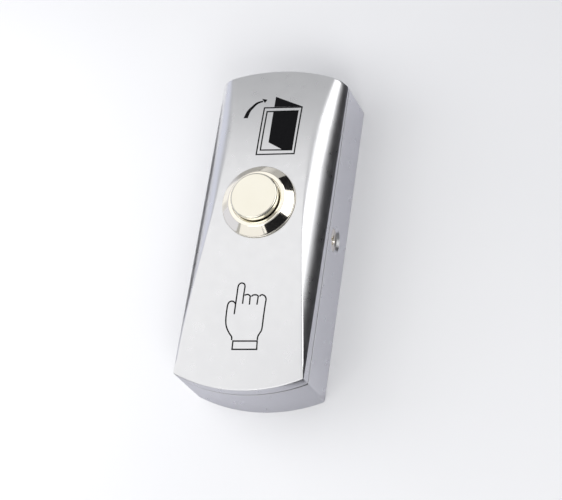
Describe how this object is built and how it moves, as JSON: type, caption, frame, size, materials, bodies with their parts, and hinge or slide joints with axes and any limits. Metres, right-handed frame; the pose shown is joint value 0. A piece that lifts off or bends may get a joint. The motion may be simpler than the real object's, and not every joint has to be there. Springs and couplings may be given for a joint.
{
  "type": "door exit button",
  "caption": "Surface-mounted door exit button: crowned metal cover on a back box, round metal push button in a bevelled bezel, screws in the sides.",
  "frame": {"origin": "middle of the flat back face, on the wall side", "axes": "+Z out of the wall towards the button, +Y up along the length towards the button's end, +X across to the right"},
  "size_m": [0.032, 0.082, 0.025],
  "materials": {
    "silver_coat": "fine satin silver coat on a zinc die casting",
    "nickel": "turned and polished, warm nickel plate",
    "plated_brass": "turned, nickel plate on brass",
    "zinc_steel": "bright zinc plate",
    "spring_steel": "drawn stainless wire",
    "contact_brass": "stamped brass",
    "black_rubber": "matt rubber",
    "white_plastic": "moulded natural acetal",
    "black_plastic": "moulded black nylon"
  },
  "bodies": {
    "housing": {"front_cover": "silver_coat", "base_box": "silver_coat", "cover_screw_right": "nickel", "cover_screw_left": "nickel", "button_bezel": "nickel", "flange_seal": "black_rubber", "lock_washer": "zinc_steel", "panel_nut": "plated_brass", "return_spring": "spring_steel", "guide_plate": "white_plastic", "switch_housing": "black_plastic", "retaining_ring": "spring_steel", "fixed_contact_upper": "contact_brass", "fixed_contact_lower": "contact_brass", "terminal_clamp_upper": "zinc_steel", "terminal_clamp_lower": "zinc_steel", "terminal_screw_upper": "zinc_steel", "terminal_screw_lower": "zinc_steel"},
    "button": {"button_cap": "nickel", "plunger": "white_plastic", "contact_bridge": "contact_brass", "bridge_clip": "zinc_steel"}
  },
  "joints": [
    {"name": "button_press", "type": "slide", "parent": "housing", "child": "button", "axis": [0, 0, -1], "range_m": [0, 0.0015], "stiffness_N_per_m": 800, "springref_m": -0.002, "deforming": ["return_spring"]}
  ]
}
